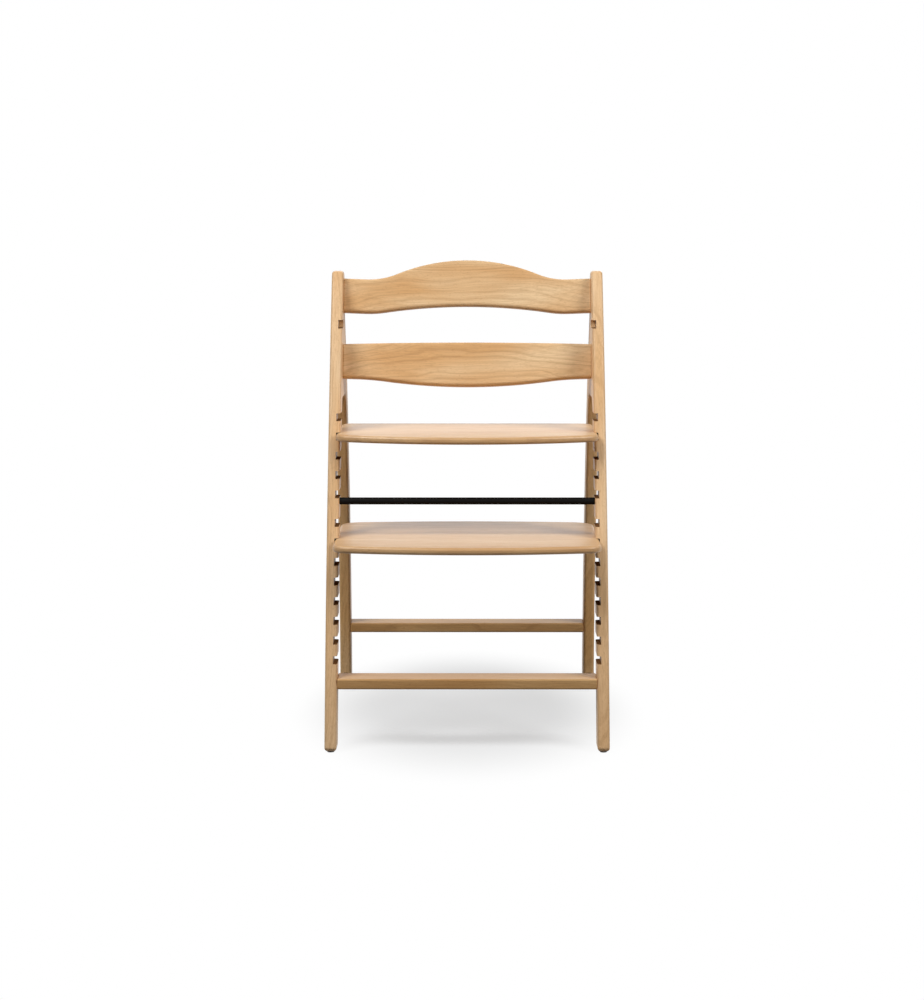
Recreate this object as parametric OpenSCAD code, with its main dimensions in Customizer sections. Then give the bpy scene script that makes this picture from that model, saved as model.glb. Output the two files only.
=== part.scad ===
// Step high chair for a child: two grooved side frames, two back rails, two stretchers, a seat
// plate and a foot plate that slide in the grooves, and a clamping rod between the sides.
// Left and right are as seen from the front: +X is right, +Y points to the back, +Z up.
// The origin lies on the floor, midway between the sides and midway between the foremost and
// the rearmost point of the chair.

/* [Overall] */
// Width over the outer faces of the two side frames
chair_w = 470; // [420:5:540]
// Distance on the floor from the toe of the front post to the heel of the rear leg
base_d = 555; // [520:5:620]
// Thickness of the side boards
side_t = 20; // [18:1:28]

/* [Front posts] */
// Height of the posts above the middle of the top rail's ends
post_rise = 40.7; // [36:0.1:48]
// Depth of the front post, measured square to its edges
post_d = 50; // [42:1:60]
// Angle by which the post leans back at the floor
post_lean = 14.35; // [13.5:0.05:15]
// Radius of the gentle curve of the post's front edge
post_radius = 3150; // [3000:10:3400]
// Radius of the front corner at the top of the post
post_top_front_r = 10; // [4:1:16]
// Radius of the back corner at the top of the post
post_top_back_r = 18; // [8:1:18]

/* [Rear legs] */
// Depth of the rear leg, measured square to its edges
leg_d = 50; // [40:1:56]
// Radius of the curve of the leg's back edge
leg_radius = 1430; // [1380:5:1500]
// Height of the underside of the web that joins the leg to the post
crotch_h = 563; // [540:1:590]
// Radius of the two corners under the web
crotch_r = 28; // [15:1:38]
// Gap between the floor and the end of the rear leg
leg_lift = 6; // [3:0.5:12]

/* [Grooves] */
// Gap between a plate and the groove's faces above and below it
groove_gap = 0.4; // [0.3:0.1:1]
// Depth of the grooves in the inner faces of the posts
groove_depth = 7; // [5:0.5:9]
// Distance from one groove to the next
groove_pitch = 31.3; // [30:0.1:32]
// Height of the lowest groove of the lower group
lower_first_h = 148; // [140:1:160]
// Least distance from the clamping rod down to the highest groove of the lower group
lower_gap = 28; // [22:1:34]
// Distance from the underside of the web down to the highest groove
upper_drop = 24.8; // [20:0.1:30]
// Number of grooves in the upper group
upper_count = 5; // [4:1:5]
// Height of the short groove above the middle of the lower rail
short_groove_rise = 63; // [58:1:68]
// Opening of the short groove
short_groove_h = 14; // [10:1:18]
// Length of the short groove, front to back
short_groove_d = 44; // [30:1:48]

/* [Plates] */
// Thickness of the seat plate and the foot plate
plate_t = 12; // [9:0.5:15]
// Gap between the end of a plate and the floor of its groove
plate_end_gap = 1; // [0.3:0.1:2]
// Number of upper grooves left free above the seat plate
seat_above_count = 1; // [0:1:2]
// Depth of the seat plate
seat_d = 270; // [250:1:300]
// How far the seat plate stands out in front of the posts
seat_ahead = 85; // [70:1:100]
// Radius of the seat's bowed front edge
seat_bow = 505; // [400:5:900]
// Number of lower grooves left free above the foot plate
foot_above_count = 1; // [1:1:3]
// Depth of the foot plate
foot_d = 342; // [320:1:360]
// How far the foot plate's front edge lies ahead of the toes of the posts
foot_ahead = 5; // [0:1:20]
// Radius of the foot plate's bowed front edge
foot_bow = 930; // [700:10:1500]
// Radius of the corners at the front of both plates
plate_front_r = 25; // [10:1:35]
// Radius of the corners at the back of the seat plate
seat_back_r = 20; // [8:1:35]
// Radius of the corners at the back of the foot plate
foot_back_r = 40; // [10:1:50]
// Radius of the foot plate's bowed back edge
foot_back_bow = 1500; // [1000:10:3000]

/* [Back rails] */
// Thickness of the back rails
rail_t = 18; // [16:1:20]
// How far the middle of a rail lies behind its ends
rail_bow = 18; // [12:1:22]
// Angle by which the backrest leans back
rail_lean = 16.5; // [13:0.5:18]
// Height of the middle of the lower rail's ends above the underside of the web
low_rail_rise = 66; // [62:1:72]
// Distance in height from the lower rail to the top rail
rail_pitch = 112.3; // [104:0.1:120]
// Height of the ends of both rails
rail_end_h = 61; // [56:0.5:64]
// Distance from the post's front edge back to the lower rail
rail_set = 51; // [46:1:54]
// Rise of the top rail's crest above its shoulders
crest_rise = 37.5; // [20:0.5:45]
// Rise of the top rail's underside
arch_rise = 15.5; // [6:0.5:20]
// Depth of the lower rail's belly
belly_drop = 11; // [6:0.5:18]
// Rise of the lower rail's upper edge
crown_rise = 6.9; // [3:0.1:12]
// Distance from the middle of the top rail to its shoulders
shoulder_x = 175; // [150:1:190]
// Distance from the middle of the lower rail to the ends of its belly
belly_x = 190; // [160:1:200]

/* [Stretchers and rod] */
// Thickness of both stretchers
stretcher_t = 17.5; // [16:0.5:22]
// Depth of the front stretcher
front_stretcher_d = 56; // [40:1:60]
// Height of the middle of the front stretcher
front_stretcher_z = 109.5; // [105:0.5:112]
// Depth of the rear stretcher
rear_stretcher_d = 50; // [36:1:54]
// Height of the middle of the rear stretcher
rear_stretcher_z = 121; // [110:1:200]
// Set-back of a stretcher from the front edge of its post or leg
stretcher_set = 2; // [0:0.5:6]
// Diameter of the clamping rod
rod_dia = 12; // [10:0.5:14]
// Distance from the lowest groove of the upper group down to the middle of the rod
rod_drop = 12; // [11:0.5:16]
// Distance from the post's front edge back to the middle of the rod
rod_set = 14; // [12:1:24]

/* [Rollers and glides] */
// Diameter of the rollers in the rear legs
roller_dia = 34; // [28:1:40]
// Width of a roller
roller_w = 9; // [7:0.5:9.5]
// Diameter of a roller's pin
roller_pin_dia = 6; // [4:0.5:8]
// Thickness of the glides under the front posts
glide_t = 2.5; // [1.5:0.5:4]
// Length of a glide, front to back
glide_l = 34; // [24:1:38]
// Width of a glide
glide_w = 12; // [8:1:14]
// Diameter of the nail of a glide
glide_nail_dia = 2.5; // [2:0.1:3]
// Length of the nail of a glide above its pad
glide_nail_l = 14; // [8:1:20]

/* [Fasteners] */
// Diameter of the bolts
bolt_dia = 6; // [5:0.5:7]
// Length of the bolts in the rails and stretchers, under the head
bolt_l = 36; // [34:1:42]
// Length of the bolts in the clamping rod, under the head
rod_bolt_l = 34; // [28:1:44]
// Diameter of a bolt's head
bolt_head_dia = 11; // [9:0.5:12]
// Height of a bolt's head
bolt_head_h = 5; // [3.5:0.5:5.5]
// Width across the flats of the hexagon socket
hex_af = 4; // [3:0.5:5]
// Diameter of a barrel nut
nut_dia = 10; // [9:0.5:11]
// Length of a barrel nut
nut_l = 12; // [9:0.5:12.5]
// Diameter of the wooden dowels
dowel_dia = 8; // [6:0.5:9]
// Length of the wooden dowels
dowel_l = 36; // [26:1:40]
// Distance from a bolt to the dowel beside it
dowel_off = 26; // [22:1:27]

/* [Fits] */
// Gap all round the thread of a bolt in its nut
thread_gap = 0.05; // [0.03:0.01:0.1]
// Gap all round a bolt in the wood
bolt_gap = 0.25; // [0.1:0.05:0.5]
// Gap all round a bolt's head in its counterbore
head_gap = 0.5; // [0.2:0.1:1]
// Gap all round a dowel, nut or nail in the wood
wood_gap = 0.05; // [0.02:0.01:0.1]
// Gap all round a roller's pin
pin_gap = 0.08; // [0.03:0.01:0.1]

/* [Hidden] */

// Long curves are drawn finely, small round things less so
arc_fn = 720;
round_fn = 64;

// Curves that run into each other cross by this much, so that no sliver is left between them
cross_by = 0.05;
eps = 0.01;

// Overall places: the sides' faces in X, the toe and the heel in Y
outer_x = chair_w / 2;
inner_x = outer_x - side_t;
mid_x = outer_x - side_t / 2;
chair_d = base_d + foot_ahead;
toe_y = foot_ahead - chair_d / 2;
heel_y = chair_d / 2;

// Heights: the web carries the rails and the posts' tops, and the upper grooves hang below it
low_rail_z = crotch_h + low_rail_rise;
top_rail_z = low_rail_z + rail_pitch;
post_h = top_rail_z + post_rise;
short_groove_z = low_rail_z + short_groove_rise;
upper_first_h = crotch_h - upper_drop - (upper_count - 1) * groove_pitch;
rod_z = upper_first_h - rod_drop;
lower_count = 1 + floor((rod_z - lower_gap - lower_first_h) / groove_pitch);

// The post's two edges are arcs about one centre, and so are the leg's
post_cy = toe_y + post_radius * cos(post_lean);
post_cz = -post_radius * sin(post_lean);
post_back_r = post_radius - post_d;
leg_cy = heel_y - leg_radius;
leg_front_r = leg_radius - leg_d;

function post_y(z, r) = post_cy - sqrt(r * r - (z - post_cz) * (z - post_cz));
function post_front(z) = post_y(z, post_radius);
function post_back(z) = post_y(z, post_back_r);
top_lean = asin((post_h - post_cz) / post_radius);
function leg_y(z, r) = leg_cy + sqrt(r * r - z * z);
function leg_front(z) = leg_y(z, leg_front_r);
function leg_back(z) = leg_y(z, leg_radius);

// The two corners under the web, and the glue line that runs up from between them
corner_z = crotch_h - crotch_r;
post_corner_y = post_y(corner_z, post_back_r - crotch_r);
leg_corner_y = leg_y(corner_z, leg_front_r - crotch_r);
glue_y = (post_corner_y + leg_corner_y) / 2;

// The tip of the leg's board is where its back edge meets the back edge of the post
centre_gap = norm([leg_cy - post_cy, -post_cz]);
along = (post_back_r * post_back_r - leg_radius * leg_radius + centre_gap * centre_gap)
    / (2 * centre_gap);
across = sqrt(post_back_r * post_back_r - along * along);
to_leg = [leg_cy - post_cy, -post_cz] / centre_gap;
tip = [post_cy, post_cz] + along * to_leg + across * [to_leg[1], -to_leg[0]];
leg_top = min(tip[1], post_h - post_top_back_r);
bury = 8;
glue_way = (tip - [glue_y, crotch_h]) / norm(tip - [glue_y, crotch_h]);

// Grooves: the heights of their middles
groove_h = plate_t + 2 * groove_gap;
lower_grooves = [for (i = [0 : lower_count - 1]) lower_first_h + i * groove_pitch];
upper_grooves = [for (i = [0 : upper_count - 1]) upper_first_h + i * groove_pitch];
seat_z = upper_grooves[upper_count - 1 - seat_above_count];
foot_z = lower_grooves[lower_count - 1 - foot_above_count];
seat_front = post_front(seat_z) - seat_ahead;
foot_front = toe_y - foot_ahead;
plate_half_w = inner_x + groove_depth - plate_end_gap;

// Rails: the front faces of their ends lie on one leaning line
low_rail_y = post_front(low_rail_z) + rail_set;
top_rail_y = low_rail_y + (top_rail_z - low_rail_z) * tan(rail_lean);
rail_r = (inner_x * inner_x + rail_bow * rail_bow) / (2 * rail_bow);
crown_r = (inner_x * inner_x + crown_rise * crown_rise) / (2 * crown_rise);

// Stretchers: the front faces
front_stretcher_y = post_front(front_stretcher_z) + stretcher_set;
rear_stretcher_y = leg_front(rear_stretcher_z) + stretcher_set;
rod_y = post_front(rod_z) + rod_set;

// Fasteners: a bolt's head seats at the floor of its counterbore, level with the wood outside
seat_x = outer_x - bolt_head_h - 1;
bolt_tip_x = seat_x - bolt_l;
nut_x = bolt_tip_x + nut_dia / 2 + 1;
hex_depth = bolt_head_h * 0.6;
dowel_in_side = side_t * 0.6;

// A rail's bolts run midway through the wood that the bowed rail has at the nut
function rail_face(x, r) = rail_bow - rail_r + sqrt(r * r - x * x);
rail_bolt_y = (rail_face(nut_x - nut_dia / 2, rail_r)
    + rail_face(nut_x + nut_dia / 2, rail_r + rail_t)) / 2;

// Rollers: the pin lies at mid-depth of the leg's foot
roller_y = (leg_front(roller_dia / 2) + leg_back(roller_dia / 2)) / 2;
roller_z = roller_dia / 2;
slot_w = roller_w + 1;
slot_top = roller_dia + 2;
glide_y = (post_front(glide_t) + post_back(glide_t)) / 2;
glide_x = mid_x;

// ---------------------------------------------------------------- helpers

// Turns a flat shape drawn in Y and Z into a board whose inner face is at x
module side_board(x, t) {
    translate([x, 0, 0])
        rotate([90, 0, 90])
            linear_extrude(t)
                children();
}

// A rod or hole along X from x, l long
module along_x(x, y, z, d, l) {
    translate([x, y, z])
        rotate([0, 90, 0])
            cylinder(d = d, h = l, $fn = round_fn);
}

// The same thing on both sides of the chair
module both_sides() {
    children();
    mirror([1, 0, 0])
        children();
}

// What is drawn on the right for one side only: 1 keeps it, -1 mirrors it
module on_side(side) {
    mirror([side > 0 ? 0 : 1, 0, 0])
        children();
}

// Everything outside a corner's circle, between two directions from its centre
module corner_waste(c, r, a0, a1) {
    reach = 3 * r;
    mid = (a0 + a1) / 2;
    difference() {
        polygon([
            c,
            c + reach * [cos(a0), sin(a0)],
            c + 1.5 * reach * [cos(mid), sin(mid)],
            c + reach * [cos(a1), sin(a1)]
        ]);
        translate(c)
            circle(r + cross_by, $fn = arc_fn);
    }
}

// ---------------------------------------------------------------- side frames

module post_bar() {
    front_c = [post_y(post_h - post_top_front_r, post_radius - post_top_front_r),
        post_h - post_top_front_r];
    back_c = [post_y(post_h - post_top_back_r, post_back_r + post_top_back_r),
        post_h - post_top_back_r];
    difference() {
        intersection() {
            translate([post_cy, post_cz])
                difference() {
                    circle(post_radius, $fn = arc_fn);
                    circle(post_back_r, $fn = arc_fn);
                }
            translate([toe_y - post_d, glide_t])
                square([base_d, post_h - glide_t]);
        }
        corner_waste(front_c, post_top_front_r, 90, 180 - top_lean);
        corner_waste(back_c, post_top_back_r, -top_lean, 90);
    }
}

// The part of the web that is one board with the post
module post_web() {
    lean = asin((corner_z - post_cz) / (post_back_r - crotch_r));
    c = [post_corner_y, corner_z];
    difference() {
        polygon([
            c,
            c + (crotch_r + bury) * [-cos(lean), sin(lean)],
            tip + [-bury, 0],
            tip + bury * glue_way,
            [glue_y, crotch_h],
            [post_corner_y, crotch_h]
        ]);
        translate(c)
            circle(crotch_r + cross_by, $fn = arc_fn);
    }
}

module leg_bar() {
    intersection() {
        translate([leg_cy, 0])
            difference() {
                circle(leg_radius, $fn = arc_fn);
                circle(leg_front_r, $fn = arc_fn);
            }
        translate([leg_cy, leg_lift])
            square([leg_radius + 1, leg_top - leg_lift]);
    }
}

// The part of the web that is one board with the leg
module leg_web() {
    lean = asin(corner_z / (leg_front_r - crotch_r));
    c = [leg_corner_y, corner_z];
    difference() {
        polygon([
            c,
            c + (crotch_r + bury) * [cos(lean), sin(lean)],
            tip,
            [glue_y, crotch_h],
            [leg_corner_y, crotch_h]
        ]);
        translate(c)
            circle(crotch_r + cross_by, $fn = arc_fn);
    }
}

// All that lies on the post's side of the glue line
module post_side() {
    polygon([
        [glue_y, crotch_h],
        tip,
        tip + [0, crotch_h],
        tip + [-base_d, crotch_h],
        [glue_y - base_d, crotch_h]
    ]);
}

module groove(z) {
    translate([inner_x - 1, toe_y - post_d, z - groove_h / 2])
        cube([groove_depth + 1, base_d, groove_h]);
}

module short_groove() {
    front = post_front(short_groove_z);
    end = front + short_groove_d - short_groove_h / 2;
    translate([inner_x - 1, front - post_d, short_groove_z - short_groove_h / 2])
        cube([groove_depth + 1, post_d + end - front, short_groove_h]);
    along_x(inner_x - 1, end, short_groove_z, short_groove_h, groove_depth + 1);
}

// Clearance hole and counterbore for a bolt that comes in from outside
module bolt_hole(y, z) {
    along_x(inner_x - 1, y, z, bolt_dia + 2 * bolt_gap, side_t + 2);
    along_x(seat_x, y, z, bolt_head_dia + 2 * head_gap, bolt_head_h + 2);
}

// Blind hole for a dowel that goes half into the side and half into the cross piece
module dowel_hole(y, z) {
    along_x(inner_x - 1, y, z, dowel_dia + 2 * wood_gap, dowel_in_side + 1.5);
}

// Where each rail's bolt and dowel lie: local height on the rail, then place in the chair
function on_rail(y0, z0, h) =
    [y0 + h * sin(rail_lean) + rail_bolt_y * cos(rail_lean),
     z0 + h * cos(rail_lean) - rail_bolt_y * sin(rail_lean)];
rail_pairs = [
    [on_rail(low_rail_y, low_rail_z, dowel_off / 2), on_rail(low_rail_y, low_rail_z, -dowel_off / 2)],
    [on_rail(top_rail_y, top_rail_z, dowel_off / 2), on_rail(top_rail_y, top_rail_z, -dowel_off / 2)]
];
front_pair = [
    [front_stretcher_y + front_stretcher_d / 2 - dowel_off / 2, front_stretcher_z],
    [front_stretcher_y + front_stretcher_d / 2 + dowel_off / 2, front_stretcher_z]
];
rear_pair = [
    [rear_stretcher_y + rear_stretcher_d / 2 - dowel_off / 2, rear_stretcher_z],
    [rear_stretcher_y + rear_stretcher_d / 2 + dowel_off / 2, rear_stretcher_z]
];
all_pairs = concat(rail_pairs, [front_pair, rear_pair]);

// The leg's dowels cross the glue line at three heights
leg_dowel_share = [0.18, 0.42, 0.62];
leg_dowels_at = [for (s = leg_dowel_share)
    [glue_y + s * (tip[0] - glue_y), crotch_h + s * (tip[1] - crotch_h)]];

module leg_dowel(at, d, l) {
    translate([mid_x, at[0] - l / 2, at[1]])
        rotate([-90, 0, 0])
            cylinder(d = d, h = l, $fn = round_fn);
}

module leg_dowel_holes() {
    for (at = leg_dowels_at)
        leg_dowel(at, dowel_dia + 2 * wood_gap, dowel_l + 2);
}

module front_post(side) {
    color("burlywood")
        on_side(side)
            difference() {
                union() {
                    side_board(inner_x, side_t)
                        post_bar();
                    side_board(inner_x, side_t)
                        post_web();
                }
                for (z = concat(lower_grooves, upper_grooves))
                    groove(z);
                short_groove();
                for (pair = concat(rail_pairs, [front_pair])) {
                    bolt_hole(pair[0][0], pair[0][1]);
                    dowel_hole(pair[1][0], pair[1][1]);
                }
                bolt_hole(rod_y, rod_z);
                leg_dowel_holes();
                glide_nail(2 * wood_gap);
            }
}

module rear_leg(side) {
    color("burlywood")
        on_side(side)
            difference() {
                union() {
                    side_board(inner_x, side_t)
                        leg_bar();
                    side_board(inner_x, side_t)
                        leg_web();
                }
                side_board(inner_x - 1, side_t + 2)
                    post_side();
                bolt_hole(rear_pair[0][0], rear_pair[0][1]);
                dowel_hole(rear_pair[1][0], rear_pair[1][1]);
                leg_dowel_holes();
                translate([mid_x - slot_w / 2, leg_cy, -1])
                    cube([slot_w, chair_d + leg_radius, slot_top + 1]);
                along_x(inner_x - 1, roller_y, roller_z, roller_pin_dia + 2 * wood_gap, side_t + 2);
            }
}

// ---------------------------------------------------------------- rails

// A swell on a straight edge: a crest arc that runs out in a shoulder arc on each side
module swell(rise, half, share) {
    both = (half * half + rise * rise) / (2 * rise);
    crest_r = both * share;
    shoulder_r = both - crest_r;
    turn_x = half * share;
    turn_z = rise - crest_r + sqrt(crest_r * crest_r - turn_x * turn_x);
    difference() {
        union() {
            intersection() {
                translate([0, rise - crest_r])
                    circle(crest_r, $fn = arc_fn);
                translate([-turn_x - 1, -2])
                    square([2 * turn_x + 2, rise + 3]);
            }
            polygon([
                [-half, -2],
                [half, -2],
                [half, 0],
                [turn_x, turn_z],
                [-turn_x, turn_z],
                [-half, 0]
            ]);
        }
        for (s = [-1, 1])
            translate([s * half, shoulder_r - cross_by])
                circle(shoulder_r, $fn = arc_fn);
    }
}

// Bowed board, its ends at the inner faces, its outline given as a front view
module rail(y0, z0) {
    translate([0, y0, z0])
        rotate([-rail_lean, 0, 0])
            difference() {
                intersection() {
                    translate([0, rail_bow - rail_r, -2 * rail_end_h])
                        linear_extrude(4 * rail_end_h)
                            difference() {
                                circle(rail_r + rail_t, $fn = arc_fn);
                                circle(rail_r, $fn = arc_fn);
                            }
                    translate([0, 2 * (rail_bow + rail_t), 0])
                        rotate([90, 0, 0])
                            linear_extrude(3 * (rail_bow + rail_t))
                                children();
                }
                both_sides() {
                    rail_hole(dowel_off / 2, bolt_dia + 2 * bolt_gap, bolt_tip_x - 2);
                    rail_hole(-dowel_off / 2, dowel_dia + 2 * wood_gap,
                        inner_x - dowel_l + dowel_in_side - 1);
                    rail_nut(dowel_off / 2, nut_dia + 2 * wood_gap, wood_gap, 20);
                }
            }
}

module rail_hole(z, d, x_end) {
    along_x(x_end, rail_bolt_y, z, d, inner_x - x_end + 1);
}

// A barrel nut is centred on its bolt, and its hole comes in from the back of the rail
module rail_nut(z, d, ahead, behind) {
    translate([nut_x, rail_bolt_y - nut_l / 2 - ahead, z])
        rotate([-90, 0, 0])
            cylinder(d = d, h = nut_l + ahead + behind, $fn = round_fn);
}

module top_back_rail() {
    color("tan")
        rail(top_rail_y, top_rail_z)
            difference() {
                union() {
                    translate([-inner_x, -rail_end_h / 2])
                        square([2 * inner_x, rail_end_h]);
                    translate([0, rail_end_h / 2])
                        swell(crest_rise, shoulder_x, 0.7);
                }
                translate([0, -rail_end_h / 2])
                    swell(arch_rise, shoulder_x, 0.82);
            }
}

module lower_back_rail() {
    color("tan")
        rail(low_rail_y, low_rail_z)
            union() {
                intersection() {
                    translate([-inner_x, -rail_end_h / 2])
                        square([2 * inner_x, 2 * rail_end_h]);
                    translate([0, rail_end_h / 2 + crown_rise - crown_r])
                        circle(crown_r, $fn = arc_fn);
                }
                translate([0, -rail_end_h / 2])
                    rotate(180)
                        swell(belly_drop, belly_x, 0.75);
            }
}

// ---------------------------------------------------------------- stretchers and rod

module stretcher(y0, z0, d, pair) {
    difference() {
        translate([-inner_x, y0, z0 - stretcher_t / 2])
            cube([2 * inner_x, d, stretcher_t]);
        both_sides() {
            along_x(bolt_tip_x - 2, pair[0][0], z0, bolt_dia + 2 * bolt_gap,
                inner_x - bolt_tip_x + 3);
            along_x(inner_x - dowel_l + dowel_in_side - 1, pair[1][0], z0,
                dowel_dia + 2 * wood_gap, dowel_l - dowel_in_side + 2);
            stretcher_nut(pair, nut_dia + 2 * wood_gap, wood_gap, 10);
        }
    }
}

// In a stretcher the nut's hole comes up from below
module stretcher_nut(pair, d, above, below) {
    translate([nut_x, pair[0][0], pair[0][1] - nut_l / 2 - below])
        cylinder(d = d, h = nut_l + above + below, $fn = round_fn);
}

module front_stretcher() {
    color("peru")
        stretcher(front_stretcher_y, front_stretcher_z, front_stretcher_d, front_pair);
}

module rear_stretcher() {
    color("peru")
        stretcher(rear_stretcher_y, rear_stretcher_z, rear_stretcher_d, rear_pair);
}

module clamp_rod() {
    color("black")
        difference() {
            along_x(-inner_x, rod_y, rod_z, rod_dia, 2 * inner_x);
            both_sides()
                along_x(seat_x - rod_bolt_l - 4, rod_y, rod_z, bolt_dia + 2 * thread_gap,
                    inner_x - seat_x + rod_bolt_l + 5);
        }
}

// ---------------------------------------------------------------- plates

// Blank with a bowed front edge and rounded front corners, seen from above
module plate_blank(front, d, bow) {
    r = plate_front_r;
    cx = plate_half_w - r;
    corner = [cx, front + bow - sqrt((bow - r) * (bow - r) - cx * cx)];
    difference() {
        intersection() {
            translate([-plate_half_w, front - 1])
                square([2 * plate_half_w, d + 1]);
            translate([0, front + bow])
                circle(bow, $fn = arc_fn);
        }
        for (s = [0, 1])
            mirror([s, 0])
                corner_waste(corner, r, -acos(cx / (bow - r)), 0);
    }
}

module seat_plate() {
    corner = [plate_half_w - seat_back_r, seat_front + seat_d - seat_back_r];
    color("wheat")
        translate([0, 0, seat_z - plate_t / 2])
            linear_extrude(plate_t)
                difference() {
                    plate_blank(seat_front, seat_d, seat_bow);
                    for (s = [0, 1])
                        mirror([s, 0])
                            corner_waste(corner, seat_back_r, 0, 90);
                }
}

module foot_plate() {
    back_cy = foot_front + foot_d - foot_back_bow;
    inner_r = foot_back_bow - foot_back_r;
    cx = plate_half_w - foot_back_r;
    corner = [cx, back_cy + sqrt(inner_r * inner_r - cx * cx)];
    color("wheat")
        translate([0, 0, foot_z - plate_t / 2])
            linear_extrude(plate_t)
                difference() {
                    intersection() {
                        plate_blank(foot_front, foot_d + 1, foot_bow);
                        translate([0, back_cy])
                            circle(foot_back_bow, $fn = arc_fn);
                    }
                    for (s = [0, 1])
                        mirror([s, 0])
                            corner_waste(corner, foot_back_r, 0, acos(cx / inner_r));
                }
}

// ---------------------------------------------------------------- fasteners

// Socket-head connecting bolt along X, its head to the outside
module bolt(y, z, l) {
    difference() {
        union() {
            along_x(seat_x - l, y, z, bolt_dia, l + eps);
            along_x(seat_x, y, z, bolt_head_dia, bolt_head_h);
        }
        translate([seat_x + bolt_head_h - hex_depth, y, z])
            rotate([0, 90, 0])
                cylinder(d = hex_af / cos(30), h = hex_depth + 1, $fn = 6);
    }
}

module frame_bolts() {
    color("dimgray")
        both_sides()
            for (pair = all_pairs)
                bolt(pair[0][0], pair[0][1], bolt_l);
}

module rod_bolts() {
    color("dimgray")
        both_sides()
            bolt(rod_y, rod_z, rod_bolt_l);
}

module barrel_nuts() {
    color("silver")
        both_sides() {
            for (place = [[low_rail_y, low_rail_z], [top_rail_y, top_rail_z]])
                difference() {
                    translate([0, place[0], place[1]])
                        rotate([-rail_lean, 0, 0])
                            rail_nut(dowel_off / 2, nut_dia, 0, 0);
                    nut_thread(on_rail(place[0], place[1], dowel_off / 2));
                }
            for (pair = [front_pair, rear_pair])
                difference() {
                    stretcher_nut(pair, nut_dia, 0, 0);
                    nut_thread(pair[0]);
                }
        }
}

module nut_thread(at) {
    along_x(nut_x - nut_dia, at[0], at[1], bolt_dia + 2 * thread_gap, 2 * nut_dia);
}

module rail_stretcher_dowels() {
    color("navajowhite")
        both_sides()
            for (pair = all_pairs)
                along_x(inner_x + dowel_in_side - dowel_l, pair[1][0], pair[1][1], dowel_dia, dowel_l);
}

module leg_dowels() {
    color("navajowhite")
        both_sides()
            for (at = leg_dowels_at)
                leg_dowel(at, dowel_dia, dowel_l);
}

// ---------------------------------------------------------------- feet

module glide_nail(gap) {
    translate([glide_x, glide_y, glide_t - eps])
        cylinder(d = glide_nail_dia + gap, h = glide_nail_l + gap, $fn = round_fn);
}

module front_glides() {
    color("gray")
        both_sides() {
            translate([glide_x, glide_y, 0]) {
                translate([-glide_w / 2, -glide_l / 2 + glide_w / 2, 0])
                    cube([glide_w, glide_l - glide_w, glide_t]);
                for (s = [-1, 1])
                    translate([0, s * (glide_l - glide_w) / 2, 0])
                        cylinder(d = glide_w, h = glide_t, $fn = round_fn);
            }
            glide_nail(0);
        }
}

module roller(side) {
    color("dimgray")
        on_side(side)
            difference() {
                along_x(mid_x - roller_w / 2, roller_y, roller_z, roller_dia, roller_w);
                along_x(mid_x - roller_w, roller_y, roller_z, roller_pin_dia + 2 * pin_gap,
                    2 * roller_w);
            }
}

module roller_pins() {
    color("silver")
        both_sides()
            along_x(inner_x + 0.5, roller_y, roller_z, roller_pin_dia, side_t - 1);
}

front_post(-1);  // front_post_left
front_post(1);  // front_post_right
rear_leg(-1);  // rear_leg_left
rear_leg(1);  // rear_leg_right
top_back_rail();
lower_back_rail();
front_stretcher();
rear_stretcher();
seat_plate();
foot_plate();
clamp_rod();
frame_bolts();
rod_bolts();
barrel_nuts();
rail_stretcher_dowels();
leg_dowels();
front_glides();
roller(-1);  // roller_left
roller(1);  // roller_right
roller_pins();
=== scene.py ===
from math import acos, cos, hypot, pi, radians, sin, sqrt, tan

import bmesh
import bpy
from mathutils import Euler, Matrix, Vector


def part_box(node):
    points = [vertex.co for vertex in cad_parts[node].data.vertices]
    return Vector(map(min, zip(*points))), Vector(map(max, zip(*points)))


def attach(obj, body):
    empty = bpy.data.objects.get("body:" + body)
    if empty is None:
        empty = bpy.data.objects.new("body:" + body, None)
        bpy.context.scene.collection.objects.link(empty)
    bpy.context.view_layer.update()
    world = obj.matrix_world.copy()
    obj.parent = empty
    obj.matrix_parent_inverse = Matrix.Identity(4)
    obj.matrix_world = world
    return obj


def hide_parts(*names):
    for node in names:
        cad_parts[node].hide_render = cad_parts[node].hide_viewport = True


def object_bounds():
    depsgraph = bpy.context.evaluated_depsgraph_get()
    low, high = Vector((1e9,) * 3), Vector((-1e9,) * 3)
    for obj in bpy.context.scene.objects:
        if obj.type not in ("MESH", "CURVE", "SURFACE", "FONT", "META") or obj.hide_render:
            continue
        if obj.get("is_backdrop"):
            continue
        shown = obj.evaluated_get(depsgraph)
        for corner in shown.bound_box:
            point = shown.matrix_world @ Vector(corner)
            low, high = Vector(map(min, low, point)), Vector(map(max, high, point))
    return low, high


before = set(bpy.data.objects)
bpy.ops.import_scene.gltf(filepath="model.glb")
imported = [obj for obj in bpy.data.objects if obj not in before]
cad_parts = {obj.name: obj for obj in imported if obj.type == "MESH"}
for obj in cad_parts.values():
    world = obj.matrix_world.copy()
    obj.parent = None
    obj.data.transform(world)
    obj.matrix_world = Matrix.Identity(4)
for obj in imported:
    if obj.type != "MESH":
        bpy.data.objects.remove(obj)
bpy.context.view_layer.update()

# ---------------------------------------------------------------- Side frames
# Each side is a leaning post and a curved leg, sawn from 20 mm beech panel glued up from staves.
# The two boards are glued edge to edge in the web, then routed round together, so the 5 mm
# rounding runs over both and leaves the glue line flat. Grooves and bolt holes come last.

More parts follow.
